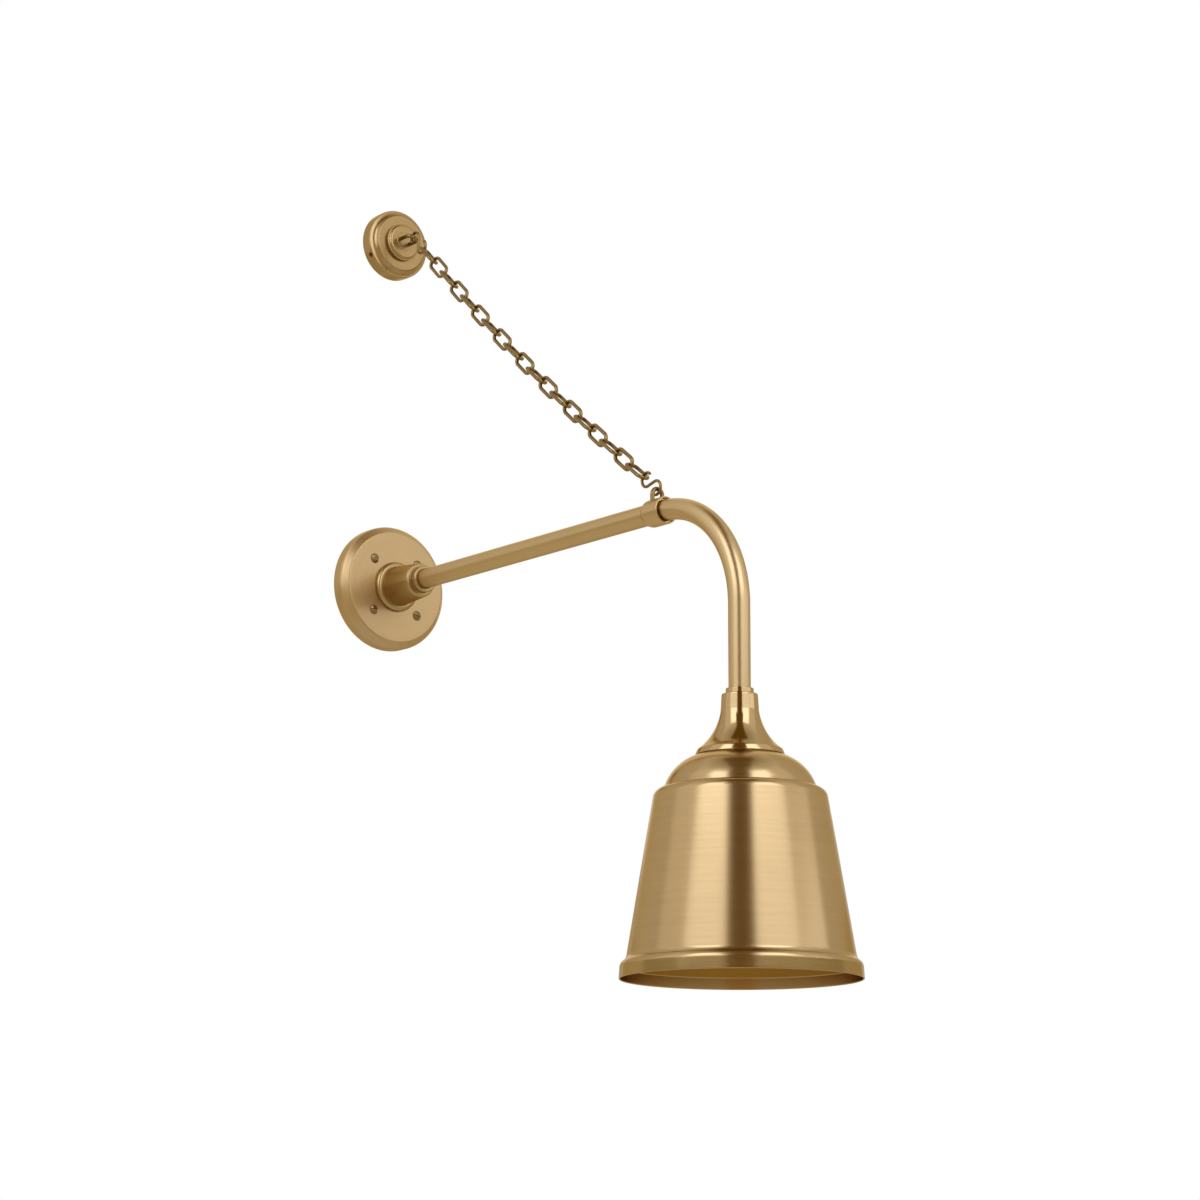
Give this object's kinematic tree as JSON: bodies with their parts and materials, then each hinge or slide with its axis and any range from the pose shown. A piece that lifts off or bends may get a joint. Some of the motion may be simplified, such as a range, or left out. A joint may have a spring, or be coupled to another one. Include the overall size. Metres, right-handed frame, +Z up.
{
  "type": "wall light",
  "caption": "Outdoor wall light: a bent tube arm on a round wall plate, stayed by a chain from a wall anchor above, carries a bell shade that lights downwards.",
  "frame": {"origin": "centre of the wall plate's back, on the wall", "axes": "+Z up; the wall is the plane Y = 0 with +Y into the wall, and the arm reaches out along -Y; X = 0 is the plane of the arm"},
  "size_m": [0.2036, 0.6308, 0.8046],
  "materials": {
    "satin_brass": "satin, finely brushed and lacquered",
    "spun_brass": "spun, brushed round the axis and lacquered",
    "chain_brass": "drawn wire, darker, polished on the rubbed places",
    "screw_brass": "turned, satin",
    "zinc_steel": "zinc plated",
    "porcelain": "glazed",
    "contact_brass": "bright stamping",
    "bulb_metal": "rolled thread",
    "bulb_glass": "frosted inside"
  },
  "bodies": {
    "fixture": {"anchor_boss": "satin_brass", "anchor_bracket": "zinc_steel", "anchor_cover": "satin_brass", "anchor_eye": "chain_brass", "anchor_nut": "zinc_steel", "anchor_set_screws": "screw_brass", "arm_tube": "satin_brass", "bulb_cap": "bulb_metal", "bulb_glass": "bulb_glass", "chain_collar": "satin_brass", "collar_eye": "chain_brass", "hub": "satin_brass", "hub_lock_nut": "zinc_steel", "mounting_plate": "zinc_steel", "neck": "satin_brass", "plate_screws": "screw_brass", "shade": "spun_brass", "shade_lock_nut": "zinc_steel", "socket_body": "porcelain", "socket_contact": "contact_brass", "socket_shell": "contact_brass", "wall_plate": "satin_brass"},
    "chain": {"upper_hook": "chain_brass", "lower_hook": "chain_brass", "chain_link_01": "chain_brass", "chain_link_02": "chain_brass", "chain_link_03": "chain_brass", "chain_link_04": "chain_brass", "chain_link_05": "chain_brass", "chain_link_06": "chain_brass", "chain_link_07": "chain_brass", "chain_link_08": "chain_brass", "chain_link_09": "chain_brass", "chain_link_10": "chain_brass", "chain_link_11": "chain_brass", "chain_link_12": "chain_brass", "chain_link_13": "chain_brass", "chain_link_14": "chain_brass", "chain_link_15": "chain_brass", "chain_link_16": "chain_brass", "chain_link_17": "chain_brass", "chain_link_18": "chain_brass", "chain_link_19": "chain_brass"}
  },
  "joints": [
    {"name": "chain_swing", "type": "hinge", "parent": "fixture", "child": "chain", "pos_m": [0, -0.0401, 0.3524], "axis": [0, -0.754, -0.6569], "range_deg": [-20, 20]}
  ]
}
